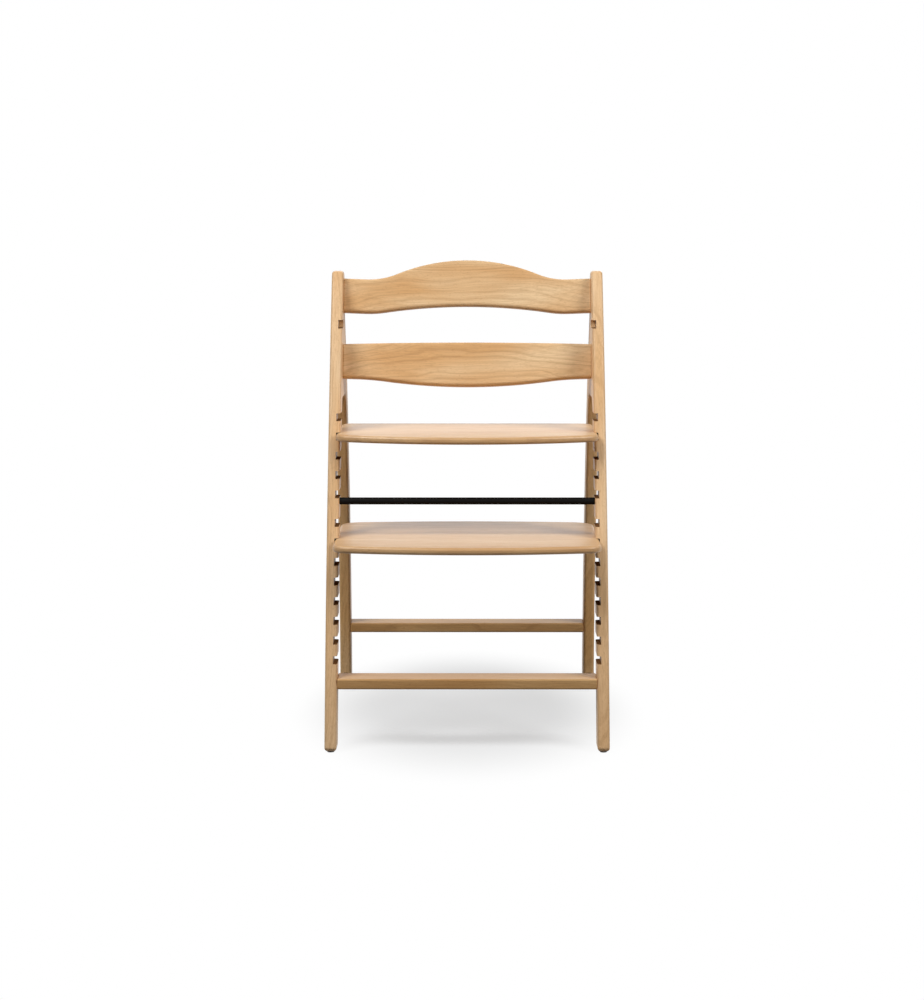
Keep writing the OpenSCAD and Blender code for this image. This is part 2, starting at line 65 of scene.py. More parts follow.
MM = 0.001
POST_RADIUS, POST_DEPTH, POST_LEAN = 3150.0, 50.0, radians(14.35)
LEG_RADIUS, LEG_DEPTH = 1430.0, 50.0
WEB_HEIGHT, WEB_CORNER = 563.0, 28.0
FOOT_CORNER, TOP_BACK_CORNER, TOP_FRONT_CORNER = 6.0, 18.0, 10.0
ROUTED, STAVE = 5.0, 42.0
# The plates end 1 mm short of the floor of their grooves, and the foot plate stands 5 mm ahead
# of the toes of the posts
PLATE_PLAY, PLATE_AHEAD = 1.0, 5.0
# A blank lies a sliver inside its CAD solid, or a hair outside it at the faces of a side, so
# that the cut never meets two faces in one plane
SLIVER, HAIR = 0.25, 0.02
# Points this near are one, in metres: in a mesh as it is made, and after a cut
WELD, CUT_WELD = 1e-6, 1e-5
# A face is level with its neighbour if all its points lie this near the neighbour's plane
LEVEL = 4e-6
# How dark a face is drawn. The cheeks and the floor of a groove get a painted shade, dark brown
# and matt, that stands in for the shade inside the grooves; sanded end grain is drawn a little
# darker. A side's level faces below this height count as cheeks, and above it there is only the
# post's top end
PAINTED_SHADE_CHEEK, PAINTED_SHADE_FLOOR, END_GRAIN_DARKENING = 1.0, 0.7, 0.25
GROOVES_TOP = WEB_HEIGHT + 150.0


def node_box(name):
    """A CAD node's lowest and highest corner, in millimetres."""
    low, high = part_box(name)
    return Vector(low) / MM, Vector(high) / MM


post_low, post_high = node_box("front_post_right")
leg_low, leg_high = node_box("rear_leg_right")
foot_low, foot_high = node_box("foot_plate")
post_foot, post_top, leg_foot = post_low.z, post_high.z, leg_low.z
inner_x, outer_x = post_low.x, post_high.x
groove_floor = foot_high.x + PLATE_PLAY

# The arcs of a board share one centre: the post's lies behind it, the leg's ahead of it
post_cy = foot_low.y + PLATE_AHEAD + POST_RADIUS * cos(POST_LEAN)
post_cz = -POST_RADIUS * sin(POST_LEAN)
leg_cy = leg_high.y - LEG_RADIUS
post_back_radius, leg_front_radius = POST_RADIUS - POST_DEPTH, LEG_RADIUS - LEG_DEPTH


def post_edge(z, radius=POST_RADIUS):
    """How far back a post's front edge is at this height, or another arc of the post."""
    return post_cy - sqrt(radius ** 2 - (z - post_cz) ** 2)


def leg_edge(z, radius=LEG_RADIUS):
    """How far back a leg's back edge is at this height, or another arc of the leg."""
    return leg_cy + sqrt(radius ** 2 - z ** 2)


def corner(edge, z, radius, rounding):
    """A corner of the outline on a post's or leg's edge, with its rounding."""
    return (edge(z, radius), z), rounding


def climb(edge, z0, z1, radius, step=8.0):
    """Points on a post's or leg's edge from one height to another, about 8 mm apart."""
    count = max(2, round(abs(z1 - z0) / step))
    return [corner(edge, z0 + (z1 - z0) * i / count, radius, 0) for i in range(count + 1)]


def ease(corners, step=radians(9)):
    """An outline from (point, radius) pairs: a corner with a radius becomes an arc."""
    outline = []
    for i, (p, r) in enumerate(corners):
        p = Vector(p)
        if r == 0:
            outline.append(p)
            continue
        back = (Vector(corners[i - 1][0]) - p).normalized()
        on = (Vector(corners[(i + 1) % len(corners)][0]) - p).normalized()
        half = back.angle(on) / 2
        centre = p + (back + on).normalized() * (r / sin(half))
        start = p + back * (r / tan(half)) - centre
        end = p + on * (r / tan(half)) - centre
        turn = start.angle_signed(end)
        steps = max(3, round(abs(turn) / step))
        for k in range(steps + 1):
            spin = -turn * k / steps
            outline.append(centre + Vector((start.x * cos(spin) - start.y * sin(spin),
                                            start.x * sin(spin) + start.y * cos(spin))))
    return outline


def inset(outline, by):
    """The outline moved inwards; it runs anticlockwise."""
    moved = []
    for i, p in enumerate(outline):
        a = (p - outline[i - 1]).normalized()
        b = (outline[(i + 1) % len(outline)] - p).normalized()
        left_a, left_b = Vector((-a.y, a.x)), Vector((-b.y, b.x))
        moved.append(p + (left_a + left_b) * by / (1 + left_a.dot(left_b)))
    return moved


def solid(name, points, faces):
    """A closed mesh from points in millimetres, its faces turned outwards."""
    mesh = bpy.data.meshes.new(name)
    mesh.from_pydata([Vector(p) * MM for p in points], [], faces)
    work = bmesh.new()
    work.from_mesh(mesh)
    bmesh.ops.remove_doubles(work, verts=work.verts, dist=WELD)
    bmesh.ops.recalc_face_normals(work, faces=work.faces)
    work.to_mesh(mesh)
    work.free()
    piece = bpy.data.objects.new(name, mesh)
    bpy.context.scene.collection.objects.link(piece)
    return piece


def lofted(name, sections):
    """A closed mesh through a row of sections with the same number of points."""
    count, last = len(sections[0]), len(sections) - 1
    faces = [tuple(range(count - 1, -1, -1)), tuple(last * count + i for i in range(count))]
    for s in range(last):
        for i in range(count):
            j = (i + 1) % count
            faces.append((s * count + i, s * count + j, (s + 1) * count + j, (s + 1) * count + i))
    return solid(name, [p for section in sections for p in section], faces)


def routed_board(name, outline, place, thick, radius, trim=0.0, steps=6):
    """A board of this outline with a rounding on both faces; place(u, v, t) gives a point."""
    arc = [pi / 2 * k / steps for k in range(steps + 1)]
    rise = [(radius * (1 - cos(a)), trim + radius * (1 - sin(a))) for a in arc]
    layers = rise + [(thick - t, by) for t, by in reversed(rise)]
    return lofted(name, [[place(p.x, p.y, t) for p in inset(outline, by)] for t, by in layers])


def cad_copy(node):
    """A copy of a CAD node with its loose triangles merged and its own normals dropped."""
    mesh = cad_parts[node].data.copy()
    if "custom_normal" in mesh.attributes:
        mesh.attributes.remove(mesh.attributes["custom_normal"])
    work = bmesh.new()
    work.from_mesh(mesh)
    bmesh.ops.remove_doubles(work, verts=work.verts, dist=WELD)
    work.to_mesh(mesh)
    work.free()
    mesh.materials.clear()
    copy = bpy.data.objects.new(node + "_blank", mesh)
    bpy.context.scene.collection.objects.link(copy)
    return copy


def settle(piece, sharp=radians(32), joined=radians(60)):
    """Applies a piece's modifiers, then gives it smooth faces with crisp edges."""
    done = bpy.data.meshes.new_from_object(
        piece.evaluated_get(bpy.context.evaluated_depsgraph_get()))
    piece.modifiers.clear()
    piece.data = done
    done.name = piece.name
    # Slivers go and level faces are joined, so that nothing bends the shading round a hole
    work = bmesh.new()
    work.from_mesh(done)
    bmesh.ops.remove_doubles(work, verts=work.verts, dist=CUT_WELD)
    bmesh.ops.dissolve_degenerate(work, dist=WELD, edges=work.edges)
    level = []
    for edge in work.edges:
        small, large = sorted(edge.link_faces, key=lambda face: face.calc_area())
        spot = large.verts[0].co
        if all(abs((vert.co - spot).dot(large.normal)) < LEVEL for vert in small.verts):
            level.append(edge)
    bmesh.ops.dissolve_limit(work, angle_limit=joined, verts=[], edges=level)
    work.to_mesh(done)
    work.free()
    for face in done.polygons:
        face.use_smooth = True
    done.set_sharp_from_angle(angle=sharp)
    weigh = piece.modifiers.new("weigh", "WEIGHTED_NORMAL")
    weigh.keep_sharp = True
    weigh.weight = 80


def cover(piece, finish):
    """Gives a made piece or a CAD node its one finish."""
    piece.data.materials.clear()
    piece.data.materials.append(finish)


def dress(piece, finish, body, node):
    """Settles a made piece and gives it its finish and its place in the model."""
    settle(piece)
    cover(piece, finish)
    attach(piece, body)
    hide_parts(node)


def mark_painted_shade_and_end_grain(piece, grain):
    """Notes how dark each face is drawn: sanded end grain a little, and the grooves' cheeks wholly
    and their floor mostly, as painted shade.
    """
    along = Vector(grain).normalized()
    upright = abs(along.x) < 0.5
    mark = piece.data.attributes.new("painted_shade_and_end_grain", "FLOAT", "FACE")
    for face in piece.data.polygons:
        x, _, z = face.center / MM
        painted_shade_and_end_grain = 0.0
        # The grooves' cheeks and floor get painted shade, sanded end grain a little darkening
        if abs(face.normal.dot(along)) > 0.9:
            cheek = abs(face.normal.z) > 0.999 and z < GROOVES_TOP
            painted_shade_and_end_grain = PAINTED_SHADE_CHEEK if cheek else END_GRAIN_DARKENING
        if upright and abs(face.normal.x) > 0.9 and abs(abs(x) - groove_floor) < 0.3:
            painted_shade_and_end_grain = PAINTED_SHADE_FLOOR
        mark.data[face.index].value = painted_shade_and_end_grain


def machined(name, blank, node, finish, grain=(1, 0, 0)):
    """The blank cut by the CAD node's grooves and holes; it stands for that node."""
    tool = cad_copy(node)
    piece = blank.copy()
    piece.data = blank.data.copy()
    piece.name = name
    bpy.context.scene.collection.objects.link(piece)
    cut = piece.modifiers.new("cut", "BOOLEAN")
    cut.operation, cut.solver, cut.object = "INTERSECT", "EXACT", tool
    dress(piece, finish, "frame", node)
    mark_painted_shade_and_end_grain(piece, grain)
    bpy.data.objects.remove(tool)


# The tip, where the back edges of the post and the leg meet
span = hypot(leg_cy - post_cy, post_cz)
along = (post_back_radius ** 2 - LEG_RADIUS ** 2 + span ** 2) / (2 * span)
across = sqrt(post_back_radius ** 2 - along ** 2)
to_leg = Vector((leg_cy - post_cy, -post_cz)) / span
tip = Vector((post_cy, post_cz)) + along * to_leg + across * Vector((to_leg.y, -to_leg.x))

# The panel's outline: from the toe up the inside of the arch and down again to the rear foot,
# up the back to the top and down the front. Its long edges keep clear of the rounded corners
PAST_CORNER, PAST_WEB = 12.0, 30.0
side_outline = ease([
    corner(post_edge, post_foot, POST_RADIUS, FOOT_CORNER),
    corner(post_edge, post_foot, post_back_radius, FOOT_CORNER),
    *climb(post_edge, post_foot + PAST_CORNER, WEB_HEIGHT - PAST_WEB, post_back_radius),
    corner(post_edge, WEB_HEIGHT, post_back_radius, WEB_CORNER),
    corner(leg_edge, WEB_HEIGHT, leg_front_radius, WEB_CORNER),
    *climb(leg_edge, WEB_HEIGHT - PAST_WEB, leg_foot + PAST_CORNER, leg_front_radius),
    corner(leg_edge, leg_foot, leg_front_radius, FOOT_CORNER),
    corner(leg_edge, leg_foot, LEG_RADIUS, FOOT_CORNER),
    *climb(leg_edge, leg_foot + PAST_CORNER, tip.y, LEG_RADIUS),
    corner(post_edge, post_top, post_back_radius, TOP_BACK_CORNER),
    corner(post_edge, post_top, POST_RADIUS, TOP_FRONT_CORNER),
    *climb(post_edge, post_top - PAST_CORNER, post_foot + PAST_CORNER, POST_RADIUS)])


def linear(colour):
    """An sRGB hex colour as the linear values that a shader takes."""
    parts = [int(colour[i:i + 2], 16) / 255 for i in (1, 3, 5)]
    return tuple(c / 12.92 if c <= 0.04045 else ((c + 0.055) / 1.055) ** 2.4
                 for c in parts) + (1.0,)


def add(tree, kind, takes=None, **settings):
    """Adds one node: its settings, then its inputs, each a value or another node's output."""
    made = tree.nodes.new(kind)
    for key, value in settings.items():
        setattr(made, key, value)
    for key, value in (takes or {}).items():
        if isinstance(value, bpy.types.NodeSocket):
            tree.links.new(value, made.inputs[key])
        else:
            made.inputs[key].default_value = value
    return made


def finish_of(name):
    """A new material, its tree and the Object coordinates that its patterns follow."""
    material = bpy.data.materials.new(name)
    material.use_nodes = True
    tree = material.node_tree
    tree.nodes.clear()
    return material, tree, add(tree, "ShaderNodeTexCoord").outputs["Object"]


def streaks(tree, board, long, wide, detail, roughness=0.5):
    """Noise drawn out along the grain, in cells of this length and width in millimetres."""
    drawn = add(tree, "ShaderNodeMapping",
                {"Vector": board, "Scale": (1 / (long * MM), 1 / (wide * MM), 1 / (wide * MM))}
                ).outputs[0]
    return add(tree, "ShaderNodeTexNoise",
               {"Vector": drawn, "Scale": 1.0, "Detail": detail, "Roughness": roughness}).outputs


# Clear-lacquered beech: a warm straw-pink wood with soft, uneven growth rings a few millimetres
# apart, silky fibres along the board and short darker ray flecks, under a satin lacquer. turn
# lays the grain along X, and heart moves the middle of the rings off the board, in metres.
def lacquered_beech(name, turn, heart, pale="#ECCDA5", warm="#DCAF7B", dark="#9C7042",
                    ring=3.4, ring_share=0.26, stave=None, veneer=None, veneer_top=0.0,
                    shine=0.25, coat=0.0):
    material, tree, where = finish_of(name)
    board = add(tree, "ShaderNodeMapping",
                {"Vector": where, "Rotation": turn, "Location": heart}).outputs[0]
    # The stem grew unevenly, so the rings wander by about 7 mm over a hand's length. The noise
    # seldom leaves the middle half of its range, so it counts four times
    wander = 4 * 7.0 * MM
    drift = streaks(tree, board, 181.8, 58.82, 2.5, 0.42)["Color"]
    centred = add(tree, "ShaderNodeVectorMath", {0: drift, 1: (0.5, 0.5, 0.5)},
                  operation="SUBTRACT").outputs[0]
    bent = add(tree, "ShaderNodeVectorMath", {0: centred, 1: (0.0, wander, wander), 2: board},
               operation="MULTIPLY_ADD").outputs[0]
    flat = add(tree, "ShaderNodeVectorMath", {0: bent, 1: (0.0, 1.0, 1.0)},
               operation="MULTIPLY").outputs[0]
    radius = add(tree, "ShaderNodeVectorMath", {0: flat}, operation="LENGTH").outputs["Value"]
    count = add(tree, "ShaderNodeMath", {0: radius, 1: 1 / (ring * MM)},
                operation="MULTIPLY").outputs[0]
    growth = add(tree, "ShaderNodeTexNoise",
                 {"W": count, "Scale": 1.0, "Detail": 1.5, "Roughness": 0.55},
                 noise_dimensions="1D").outputs["Fac"]
    late = add(tree, "ShaderNodeMapRange",
               {"Value": growth, "From Min": 0.42, "From Max": 0.72, "To Max": ring_share},
               interpolation_type="SMOOTHSTEP").outputs[0]
    # Fibres of about 0.4 mm are drawn 2 mm wide, so that they show
    fibres = streaks(tree, bent, 111.1, 2.0833, 3.0, 0.6)["Fac"]
    fibre_share = add(tree, "ShaderNodeMapRange",
                      {"Value": fibres, "From Min": 0.42, "From Max": 0.78, "To Max": 0.34}
                      ).outputs[0]
    # Ray flecks: dark dashes about 4 mm long and 1 mm high
    rays = streaks(tree, board, 5.263, 1.1765, 1.0)["Fac"]
    ray_share = add(tree, "ShaderNodeMapRange",
                    {"Value": rays, "From Min": 0.60, "From Max": 0.72, "To Max": 0.25}
                    ).outputs[0]
    # The ground tone changes slowly over the board, from straw to pink
    tone = streaks(tree, board, 250.0, 45.45, 2.0)["Fac"]
    share = add(tree, "ShaderNodeMapRange",
                {"Value": tone, "From Min": 0.32, "From Max": 0.68}).outputs[0]
    if stave:
        # Each stave came from another stem, and has a ground tone of its own
        across = add(tree, "ShaderNodeSeparateXYZ", {"Vector": board}).outputs["Y"]
        number = add(tree, "ShaderNodeMath", {0: across, 1: 1 / (stave * MM)},
                     operation="MULTIPLY").outputs[0]
        whole = add(tree, "ShaderNodeMath", {0: number}, operation="FLOOR").outputs[0]
        chance = add(tree, "ShaderNodeTexWhiteNoise", {"W": whole},
                     noise_dimensions="1D").outputs["Value"]
        share = add(tree, "ShaderNodeMix", {0: 0.4, 2: share, 3: chance},
                    data_type="FLOAT").outputs[0]
    colour = add(tree, "ShaderNodeMix", {0: share, 6: linear(pale), 7: linear(warm)},
                 data_type="RGBA").outputs[2]
    shares = [late, fibre_share, ray_share]
    if veneer:
        # Every other veneer runs across, and shows darker on the edge; the faces are veneer too
        height = add(tree, "ShaderNodeSeparateXYZ", {"Vector": where}).outputs["Z"]
        layer = add(tree, "ShaderNodeMath",
                    {0: height, 1: pi / (veneer * MM), 2: -pi * veneer_top / veneer},
                    operation="MULTIPLY_ADD").outputs[0]
        wave = add(tree, "ShaderNodeMath", {0: layer}, operation="COSINE").outputs[0]
        shares.append(add(tree, "ShaderNodeMapRange",
                          {"Value": wave, "From Min": 0.2, "From Max": -0.2, "To Max": 0.14}
                          ).outputs[0])
    for amount in shares:
        colour = add(tree, "ShaderNodeMix", {0: amount, 6: colour, 7: linear(dark)},
                     data_type="RGBA").outputs[2]
    # Painted shade: the grooves' cheeks and floor are drawn dark brown and matt, in place of the
    # shade inside them; sanded end grain is drawn a little darker and less glossy
    painted_shade_and_end_grain = add(tree, "ShaderNodeAttribute", attribute_name="painted_shade_and_end_grain").outputs["Fac"]
    darkening_share = add(tree, "ShaderNodeMath", {0: painted_shade_and_end_grain, 1: 0.85}, operation="MULTIPLY").outputs[0]
    colour = add(tree, "ShaderNodeMix", {0: darkening_share, 6: colour, 7: linear("#6F4722")},
                 data_type="RGBA").outputs[2]
    gleam = add(tree, "ShaderNodeMapRange",
                {"Value": painted_shade_and_end_grain, "To Min": shine, "To Max": 0.0}).outputs[0]
    rough = add(tree, "ShaderNodeMapRange",
                {"Value": fibres, "From Min": 0.3, "From Max": 0.7,
                 "To Min": 0.36, "To Max": 0.48}).outputs[0]
    raised = add(tree, "ShaderNodeBump",
                 {"Height": fibres, "Strength": 0.10, "Distance": 0.4 * MM}).outputs[0]
    shader = add(tree, "ShaderNodeBsdfPrincipled",
                 {"Base Color": colour, "Roughness": rough, "Normal": raised, "IOR": 1.5,
                  "Specular IOR Level": gleam, "Coat Weight": coat, "Coat Roughness": 0.24})
    add(tree, "ShaderNodeOutputMaterial", {"Surface": shader.outputs[0]})
    return material


def grain_turn(along, face):
    """The turn that lays the grain along X and the board's face normal along Z."""
    a = Vector(along).normalized()
    f = Vector(face)
    f = (f - a * f.dot(a)).normalized()
    return Matrix((a, f.cross(a), f)).to_euler()


post_grain = (0, post_edge(post_top) - post_edge(post_foot), post_top - post_foot)
leg_grain = (0, tip.x - leg_edge(leg_foot), tip.y - leg_foot)
post_beech = lacquered_beech("lacquered_beech_post", grain_turn(post_grain, (1, 0, 0.06)),
                             (0.3, 0.045, -0.29), ring_share=0.2, stave=STAVE)
leg_beech = lacquered_beech("lacquered_beech_leg", grain_turn(leg_grain, (1, 0, -0.05)),
                            (0.1, -0.06, -0.30), pale="#F0CB9A", warm="#E0AE70",
                            dark="#9C6C3A", ring_share=0.2, stave=STAVE)

side_t = outer_x - inner_x
for side, way in (("left", -1), ("right", 1)):
    panel = routed_board(
        "panel_" + side, side_outline,
        lambda u, v, t: (way * (inner_x - HAIR + t * (side_t + 2 * HAIR) / side_t), u, v),
        side_t, ROUTED, trim=SLIVER)
    machined("post_" + side, panel, "front_post_" + side, post_beech, post_grain)
    machined("leg_" + side, panel, "rear_leg_" + side, leg_beech, leg_grain)
    bpy.data.objects.remove(panel)

# ---------------------------------------------------------------- Back rails
# Two boards of solid beech, 18 mm thick, bent backwards by 18 mm and leaning with the back.
# The top one has a raised crest and an arched underside, the lower one a belly; their long
# edges are rounded, and their square ends, with broken edges, butt on the sides.

RAIL_T, RAIL_BOW, RAIL_LEAN, RAIL_END = 18.0, 18.0, radians(16.5), 61.0
RAIL_EDGE, RAIL_STATIONS = 6.0, 60
# The broken edge of a board's end, and how far a rail's blank runs past its end
END_BREAK, RAIL_PAST = 1.0, 1.5
# The rise of each curve, half its width, and the share of that which the middle arc takes
CREST, ARCH, BELLY = (37.5, 175.0, 0.7), (15.5, 175.0, 0.82), (11.0, 190.0, 0.75)
CROWN = 6.9
# The lower rail's ends above the web and behind the posts' front edge, and the top rail's
# above the lower one's
LOW_RAIL_UP, RAIL_BEHIND, RAIL_STEP = 66.0, 51.0, 112.3
rail_radius = (inner_x ** 2 + RAIL_BOW ** 2) / (2 * RAIL_BOW)


def swell(x, rise, half, share):
    """Height over the straight edge of a crest arc that runs out in two shoulder arcs."""
    both = (half ** 2 + rise ** 2) / (2 * rise)
    crest, shoulder = both * share, both * (1 - share)
    x = abs(x)
    if x >= half:
        return 0.0
    if x <= half * share:
        return rise - crest + sqrt(crest ** 2 - x ** 2)
    return shoulder - sqrt(shoulder ** 2 - (half - x) ** 2)


def crown(x, rise):
    """Height over the straight edge of one arc from end to end."""
    radius = (inner_x ** 2 + rise ** 2) / (2 * rise)
    return rise - radius + sqrt(radius ** 2 - x ** 2)


def ring_section(low_u, high_u, low_v, high_v, r, steps=6):
    """The points of a rounded rectangle, anticlockwise."""
    points = []
    for cu, cv, start in ((high_u - r, low_v + r, -90), (high_u - r, high_v - r, 0),
                          (low_u + r, high_v - r, 90), (low_u + r, low_v + r, 180)):
        for k in range(steps + 1):
            a = radians(start + 90 * k / steps)
            points.append((cu + r * cos(a), cv + r * sin(a)))
    return points


def drawn_in(x):
    """How much smaller a board's section is at x, so that the edges of its end are broken."""
    return max(0.0, abs(x) - inner_x + END_BREAK)


def rail_blank(name, end_y, end_z, top, bottom):
    """A rail's blank; top(x) and bottom(x) are how far its edges stand off the straight."""
    half = [inner_x * i / RAIL_STATIONS for i in range(RAIL_STATIONS)]
    half += [inner_x - END_BREAK, inner_x + RAIL_PAST]
    sections = []
    for x in [-x for x in reversed(half[1:])] + half:
        inside = max(-inner_x, min(inner_x, x))
        face = RAIL_BOW - rail_radius + sqrt(rail_radius ** 2 - x ** 2)
        less = SLIVER + drawn_in(x)
        section = ring_section(face + less, face + RAIL_T - less,
                               -RAIL_END / 2 - bottom(inside) + less,
                               RAIL_END / 2 + top(inside) - less, RAIL_EDGE - drawn_in(x))
        sections.append([(x, end_y + w * cos(RAIL_LEAN) + v * sin(RAIL_LEAN),
                          end_z - w * sin(RAIL_LEAN) + v * cos(RAIL_LEAN)) for w, v in section])
    return lofted(name, sections)


low_rail_z = WEB_HEIGHT + LOW_RAIL_UP
low_rail_y = post_edge(low_rail_z) + RAIL_BEHIND
top_rail_y = low_rail_y + RAIL_STEP * tan(RAIL_LEAN)

rail_beech = lacquered_beech("lacquered_beech_rail", grain_turn((1, 0, 0.01), (0, -1, 0.28)),
                             (0.0, -0.47, 0.12), pale="#EACBA0", warm="#D7A975", shine=0.2)
for name, node, end_y, end_z, top, bottom in (
        ("back_rail_top", "top_back_rail", top_rail_y, low_rail_z + RAIL_STEP,
         lambda x: swell(x, *CREST), lambda x: -swell(x, *ARCH)),
        ("back_rail_lower", "lower_back_rail", low_rail_y, low_rail_z,
         lambda x: crown(x, CROWN), lambda x: swell(x, *BELLY))):
    blank = rail_blank(name + "_blank", end_y, end_z, top, bottom)
    machined(name, blank, node, rail_beech)
    bpy.data.objects.remove(blank)

# ---------------------------------------------------------------- Stretchers
# Two flat beech boards between the sides near the floor, planed square with softly broken
# edges, each held by a bolt and a dowel at both ends.

# A stretcher's rounded edge, and how far its blank lies inside it and runs past its ends
STRETCHER_EDGE, STRETCHER_SLIVER, STRETCHER_PAST = 3.0, 0.05, 1.0
# The stretchers' beech is drawn darker and oranger than the other boards', a painted shade that
# stands in for the shade under the foot plate
stretcher_beech_painted_shade = lacquered_beech("lacquered_beech_stretcher_painted_shade",
                                  grain_turn((1, 0.01, 0), (0, 0.1, 1)), (0.1, 0.28, -0.06),
                                  pale="#D4AB76", warm="#C2925B", dark="#8C6034")
for name in ("front_stretcher", "rear_stretcher"):
    low, high = node_box(name)
    sections = []
    for x in (low.x - STRETCHER_PAST, low.x + END_BREAK, 0,
              high.x - END_BREAK, high.x + STRETCHER_PAST):
        less = STRETCHER_SLIVER + drawn_in(x)
        section = ring_section(low.y + less, high.y - less, low.z + less, high.z - less,
                               STRETCHER_EDGE - drawn_in(x), steps=5)
        sections.append([(x, y, z) for y, z in section])
    blank = lofted(name + "_blank", sections)
    machined(name + "_board", blank, name, stretcher_beech_painted_shade)
    bpy.data.objects.remove(blank)

# ---------------------------------------------------------------- Clamping rod
# A 12 mm steel rod between the posts, powder-coated black. A bolt at each end draws the posts
# against it, which clamps the plates in their grooves.

ROD_BORE, ROD_EDGE, PEEL = 3.05, 0.8, 1.0
# Powder coat: a deep, faintly warm black with a soft sheen, broken up by a fine orange peel,
# 1 mm from crest to crest
black_coat, tree, where = finish_of("black_powder_coat")
peel = add(tree, "ShaderNodeTexNoise",
           {"Vector": where, "Scale": 1 / (PEEL * MM), "Detail": 1.0}).outputs["Fac"]
rough = add(tree, "ShaderNodeMapRange",
            {"Value": peel, "To Min": 0.42, "To Max": 0.54}).outputs[0]
raised = add(tree, "ShaderNodeBump",
             {"Height": peel, "Strength": 0.2, "Distance": 0.1 * MM}).outputs[0]
tint = add(tree, "ShaderNodeMix", {0: peel, 6: linear("#070605"), 7: linear("#0D0B0A")},
           data_type="RGBA").outputs[2]
shader = add(tree, "ShaderNodeBsdfPrincipled",
             {"Base Color": tint, "Roughness": rough, "Normal": raised, "IOR": 1.5,
              "Specular IOR Level": 0.08})
add(tree, "ShaderNodeOutputMaterial", {"Surface": shader.outputs[0]})


def lathe(name, profile, axle_y, axle_z, steps=48):
    """A body turned about an axle along X; profile is a closed loop of (radius, x)."""
    count = len(profile)
    points, faces = [], []
    for s in range(steps):
        a = 2 * pi * s / steps
        points += [(x, axle_y + r * cos(a), axle_z + r * sin(a)) for r, x in profile]
    for s in range(steps):
        n = (s + 1) % steps
        for i in range(count):
            j = (i + 1) % count
            faces.append((s * count + i, n * count + i, n * count + j, s * count + j))
    return solid(name, points, faces)


low, high = node_box("clamp_rod")
rod_r = (high.z - low.z) / 2
rod = lathe("clamping_rod",
            [(ROD_BORE, low.x), (rod_r - ROD_EDGE, low.x), (rod_r, low.x + ROD_EDGE),
             (rod_r, high.x - ROD_EDGE), (rod_r - ROD_EDGE, high.x), (ROD_BORE, high.x)],
            (low.y + high.y) / 2, (low.z + high.z) / 2)
dress(rod, black_coat, "frame", "clamp_rod")

# ---------------------------------------------------------------- Dowels
# Turned beech dowels, raw and fluted, pressed in beside the bolts and through the glue line
# of the web. They are out of sight once the chair is together.

GRAIN = 3.333
# Raw turned beech: matt and a little duller than the lacquered boards, with darker specks
# about 3 mm apart
raw_beech, tree, where = finish_of("raw_beech_dowel")
grain = add(tree, "ShaderNodeTexNoise",
            {"Vector": where, "Scale": 1 / (GRAIN * MM), "Detail": 2.0}).outputs["Fac"]
tint = add(tree, "ShaderNodeMix", {0: grain, 6: linear("#E3C79F"), 7: linear("#CDA877")},
           data_type="RGBA").outputs[2]
shader = add(tree, "ShaderNodeBsdfPrincipled", {"Base Color": tint, "Roughness": 0.7})
add(tree, "ShaderNodeOutputMaterial", {"Surface": shader.outputs[0]})
for name in ("rail_stretcher_dowels", "leg_dowels"):
    cover(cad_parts[name], raw_beech)

# ---------------------------------------------------------------- Bolts
# M6 connecting bolts of bright zinc-plated steel, with a low round head, a broken edge and a
# 4 mm hexagon socket. Eight hold the rails and stretchers, and two shorter ones the rod.

HEAD_HEIGHT, SOCKET_SHARE, MOTTLE = 5.0, 0.6, 3.03
# Zinc plate: a bright, cool grey metal. Barrel plating leaves a faint mottle, 3 mm across
zinc, tree, where = finish_of("zinc_plated_steel")
mottle = add(tree, "ShaderNodeTexNoise",
             {"Vector": where, "Scale": 1 / (MOTTLE * MM), "Detail": 3.0}).outputs["Fac"]
tint = add(tree, "ShaderNodeMix", {0: mottle, 6: linear("#C9CBCC"), 7: linear("#A9ABAD")},
           data_type="RGBA").outputs[2]
rough = add(tree, "ShaderNodeMapRange",
            {"Value": mottle, "To Min": 0.26, "To Max": 0.42}).outputs[0]
shader = add(tree, "ShaderNodeBsdfPrincipled",
             {"Base Color": tint, "Roughness": rough, "Metallic": 1.0})
add(tree, "ShaderNodeOutputMaterial", {"Surface": shader.outputs[0]})


def solids_of(node):
    """The low and high corner of each separate solid in a CAD node, in millimetres."""
    work = bmesh.new()
    work.from_mesh(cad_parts[node].data)
    bmesh.ops.remove_doubles(work, verts=work.verts, dist=WELD)
    left, boxes = set(work.verts), []
    while left:
        stack, island = [left.pop()], []
        while stack:
            v = stack.pop()
            island.append(v.co.copy())
            for edge in v.link_edges:
                w = edge.other_vert(v)
                if w in left:
                    left.remove(w)
                    stack.append(w)
        boxes.append((Vector(min(p[k] for p in island) for k in range(3)) / MM,
                      Vector(max(p[k] for p in island) for k in range(3)) / MM))
    work.free()
    return sorted(boxes, key=lambda b: tuple(round(v, 3) for v in b[0]))


def fastener_tree(name, made, finish, sizes):
    """A new tree whose named inputs are its places, its sizes and its finish."""
    tree = bpy.data.node_groups.new(name, "GeometryNodeTree")
    inputs = [("Places", "Geometry", None)]
    inputs += [(size, "Float", value * MM) for size, value in sizes.items()]
    for label, kind, value in inputs + [("Finish", "Material", finish)]:
        entry = tree.interface.new_socket(label, in_out="INPUT", socket_type="NodeSocket" + kind)
        if value is not None:
            entry.default_value = value
    tree.interface.new_socket(made, in_out="OUTPUT", socket_type="NodeSocketGeometry")
    return tree, add(tree, "NodeGroupInput").outputs


